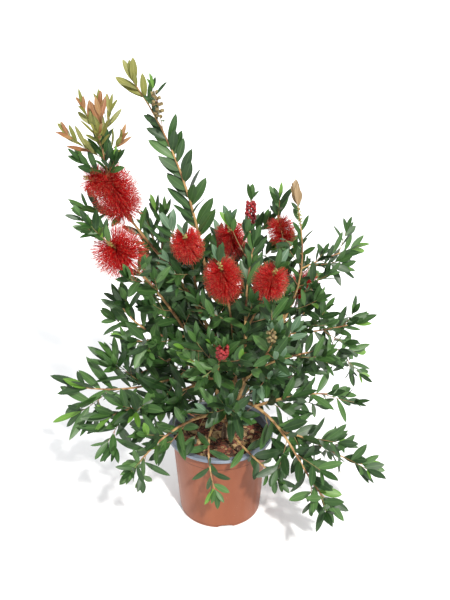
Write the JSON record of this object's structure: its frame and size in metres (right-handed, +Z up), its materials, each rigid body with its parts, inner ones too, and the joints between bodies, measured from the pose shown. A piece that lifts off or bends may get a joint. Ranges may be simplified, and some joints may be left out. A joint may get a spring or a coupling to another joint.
{
  "type": "potted bottlebrush shrub",
  "caption": "Young bottlebrush shrub with red brush flowers, standing in a round nursery pot filled with bark mix.",
  "frame": {"origin": "centre of the pot's flat underside, on the surface that the pot stands on", "axes": "+Z up the pot's axis, -Y towards the front, +X to the right seen from the front"},
  "size_m": [0.6776, 0.5556, 0.9732],
  "materials": {
    "pot_plastic": "satin",
    "potting_mix": "matte",
    "bark": "matte",
    "foliage": "satin"
  },
  "bodies": {
    "root": {"bough_centre_shoot": "bark", "bough_flower_shoot": "bark", "bough_front_left": "bark", "bough_front_right": "bark", "bough_high_leader": "bark", "bough_inner_shoot": "bark", "bough_left_first": "bark", "bough_left_leader": "bark", "bough_left_second": "bark", "bough_left_third": "bark", "bough_left_upper": "bark", "bough_middle_leader": "bark", "bough_rear_bough": "bark", "bough_rear_left": "bark", "bough_rear_right": "bark", "bough_rear_shoot": "bark", "bough_right_bough": "bark", "bough_right_leader": "bark", "bough_right_low": "bark", "bough_right_lower": "bark", "bough_right_tip": "bark", "bough_scarlet_shoot": "bark", "bough_sweep": "bark", "bough_tall_leader": "bark", "bough_upper_right": "bark", "mass_centre_shoot": "foliage", "mass_flower_shoot": "foliage", "mass_front_left": "foliage", "mass_front_right": "foliage", "mass_front_right_twig": "foliage", "mass_front_spray": "foliage", "mass_front_twig": "foliage", "mass_high_leader": "foliage", "mass_inner_shoot": "foliage", "mass_left_first": "foliage", "mass_left_leader": "foliage", "mass_left_low": "foliage", "mass_left_second": "foliage", "mass_left_third": "foliage", "mass_left_upper": "foliage", "mass_middle_leader": "foliage", "mass_rear_bough": "foliage", "mass_rear_left": "foliage", "mass_rear_low_left": "foliage", "mass_rear_low_right": "foliage", "mass_rear_right": "foliage", "mass_rear_shoot": "foliage", "mass_right_bough": "foliage", "mass_right_leader": "foliage", "mass_right_low": "foliage", "mass_right_lower": "foliage", "mass_right_tip": "foliage", "mass_scarlet_shoot": "foliage", "mass_sweep": "foliage", "mass_tall_leader": "foliage", "mass_upper_right": "foliage", "pot": "pot_plastic", "potting_soil": "potting_mix", "trunk": "bark"}
  },
  "joints": []
}
